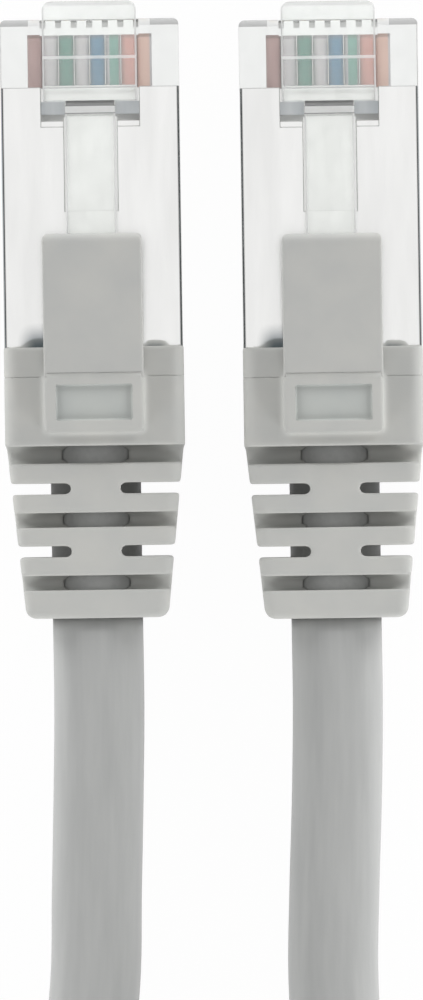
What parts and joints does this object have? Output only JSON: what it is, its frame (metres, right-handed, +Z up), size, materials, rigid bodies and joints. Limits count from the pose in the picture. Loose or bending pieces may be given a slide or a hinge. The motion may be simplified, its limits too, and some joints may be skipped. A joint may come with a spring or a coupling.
{
  "type": "ethernet patch cable",
  "caption": "Shielded round network patch cable with a clear latched plug in a grey moulded boot at each end, its spare length folded into a tied hank.",
  "frame": {"origin": "on the surface that the cable lies on, at the middle of the box round the two plugs with their boots", "axes": "+Y along the plugs toward their noses, +Z up to the latch side, +X from the left plug to the right plug"},
  "size_m": [0.054, 0.1735, 0.0138],
  "materials": {
    "clear_plastic": "clear moulded polycarbonate",
    "clear_latch": "clear moulded polycarbonate",
    "nickel_shield": "nickel-plated stamped sheet",
    "gold_contacts": "gold plating over phosphor bronze",
    "load_bar_plastic": "clear moulded polycarbonate",
    "copper": "bare drawn copper",
    "screen_foil": "aluminium foil wrap",
    "tinned_braid": "tinned copper braid",
    "jacket": "satin extruded PVC",
    "boot_plastic": "satin moulded PVC",
    "tie": "satin nylon",
    "wire_white_orange": "extruded polyethylene",
    "wire_orange": "extruded polyethylene",
    "wire_white_green": "extruded polyethylene",
    "wire_blue": "extruded polyethylene",
    "wire_white_blue": "extruded polyethylene",
    "wire_green": "extruded polyethylene",
    "wire_white_brown": "extruded polyethylene",
    "wire_brown": "extruded polyethylene"
  },
  "bodies": {
    "cable": {"housing_a": "clear_plastic", "shield_a": "nickel_shield", "contacts_a": "gold_contacts", "load_bar_a": "load_bar_plastic", "conductors_a": "copper", "screened_core_a": "screen_foil", "braid_a": "tinned_braid", "jacket_end_a": "jacket", "boot_a": "boot_plastic", "wire_1_white_orange_a": "wire_white_orange", "wire_2_orange_a": "wire_orange", "wire_3_white_green_a": "wire_white_green", "wire_4_blue_a": "wire_blue", "wire_5_white_blue_a": "wire_white_blue", "wire_6_green_a": "wire_green", "wire_7_white_brown_a": "wire_white_brown", "wire_8_brown_a": "wire_brown", "housing_b": "clear_plastic", "shield_b": "nickel_shield", "contacts_b": "gold_contacts", "load_bar_b": "load_bar_plastic", "conductors_b": "copper", "screened_core_b": "screen_foil", "braid_b": "tinned_braid", "jacket_end_b": "jacket", "boot_b": "boot_plastic", "wire_1_white_orange_b": "wire_white_orange", "wire_2_orange_b": "wire_orange", "wire_3_white_green_b": "wire_white_green", "wire_4_blue_b": "wire_blue", "wire_5_white_blue_b": "wire_white_blue", "wire_6_green_b": "wire_green", "wire_7_white_brown_b": "wire_white_brown", "wire_8_brown_b": "wire_brown", "cable_lead_a": "jacket", "cable_lead_b": "jacket", "cable_hank": "jacket", "hank_ties": "tie"},
    "latch_a": {"latch_a": "clear_latch"},
    "latch_cover_a": {"latch_cover_a": "boot_plastic"},
    "latch_b": {"latch_b": "clear_latch"},
    "latch_cover_b": {"latch_cover_b": "boot_plastic"}
  },
  "joints": [
    {"name": "latch_cover_press_a", "type": "hinge", "parent": "cable", "child": "latch_cover_a", "pos_m": [-0.0078, -0.00383, 0.00869], "axis": [-1, 0, 0], "range_deg": [0, 13.5], "stiffness_Nm_per_rad": 0.005},
    {"name": "latch_press_a", "type": "hinge", "parent": "cable", "child": "latch_a", "pos_m": [-0.0078, 0.01952, 0.00565], "axis": [1, 0, 0], "range_deg": [0, 6], "stiffness_Nm_per_rad": 0.01},
    {"name": "latch_cover_press_b", "type": "hinge", "parent": "cable", "child": "latch_cover_b", "pos_m": [0.0078, -0.00407, 0.00869], "axis": [-1, 0, 0], "range_deg": [0, 13.5], "stiffness_Nm_per_rad": 0.005},
    {"name": "latch_press_b", "type": "hinge", "parent": "cable", "child": "latch_b", "pos_m": [0.0078, 0.01928, 0.00565], "axis": [1, 0, 0], "range_deg": [0, 6], "stiffness_Nm_per_rad": 0.01}
  ],
  "couplings": [
    {"joint": "latch_press_a", "follows": "latch_cover_press_a", "ratio": 0.4444},
    {"joint": "latch_press_b", "follows": "latch_cover_press_b", "ratio": 0.4444}
  ]
}
